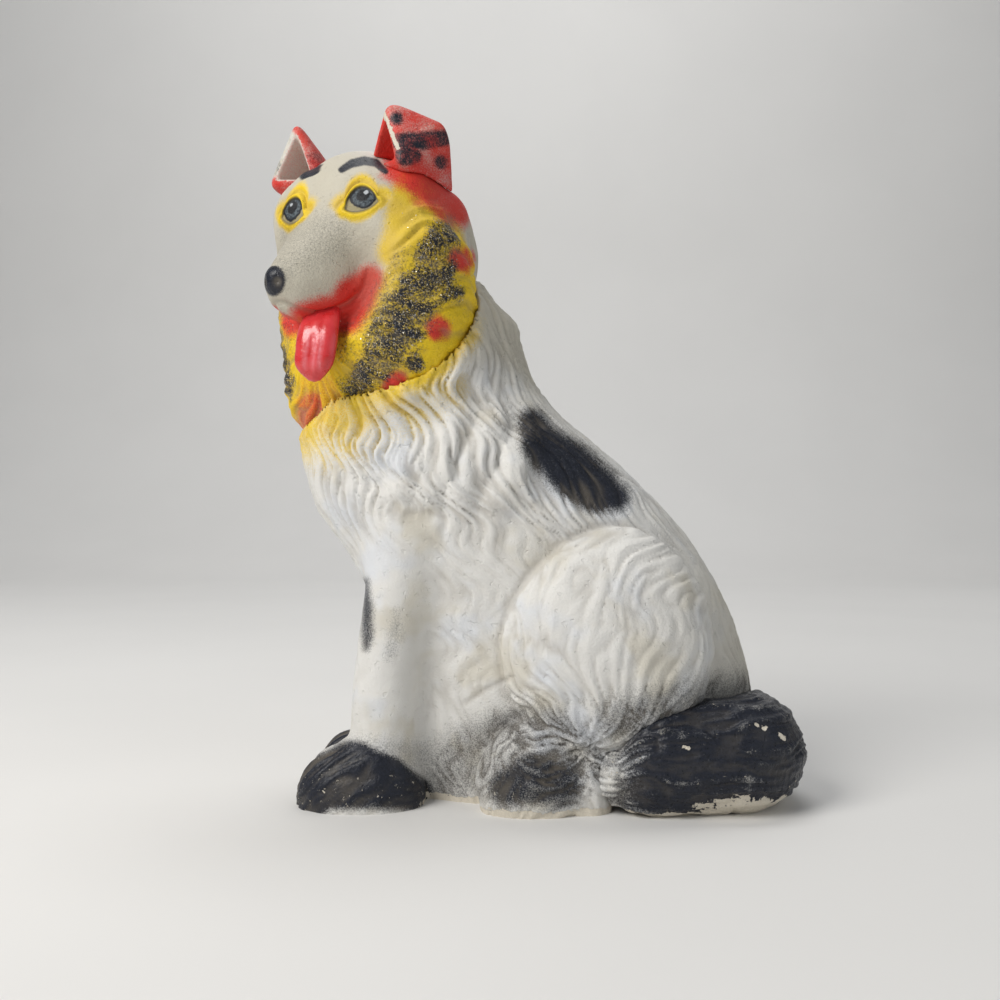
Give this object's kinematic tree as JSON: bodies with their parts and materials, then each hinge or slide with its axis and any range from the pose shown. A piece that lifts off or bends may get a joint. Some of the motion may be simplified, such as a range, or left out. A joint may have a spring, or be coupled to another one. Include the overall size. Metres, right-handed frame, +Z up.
{
  "type": "plaster dog figure",
  "caption": "Hollow plaster figure of a seated long-haired dog, head turned to its left, tongue out, brush tail laid along the flank; stands on its open flat foot.",
  "frame": {"origin": "middle of the outline box in plan, on the level of the foot", "axes": "+Z up from the foot; the dog faces -X; its left side, the side shown in the picture, faces -Y"},
  "size_m": [0.2325, 0.11, 0.2939],
  "materials": {
    "plaster_white": "chalky cream-white paint on plaster",
    "plaster_raw": "bare plaster slip",
    "face_paint": "cream face with yellow, red and black sprayed ruff",
    "ear_red": "red paint with black speckle, worn at the edges",
    "tongue_red": "glossy red paint",
    "tail_black": "blue-black paint, chipped to bare plaster underneath"
  },
  "bodies": {
    "root": {"body_left_half": "plaster_white", "body_right_half": "plaster_white", "seam_bead_front": "plaster_raw", "seam_bead_back": "plaster_raw", "neck_bond": "plaster_raw", "head": "face_paint", "left_ear": "ear_red", "right_ear": "ear_red", "tongue": "tongue_red", "tail": "tail_black"}
  },
  "joints": []
}
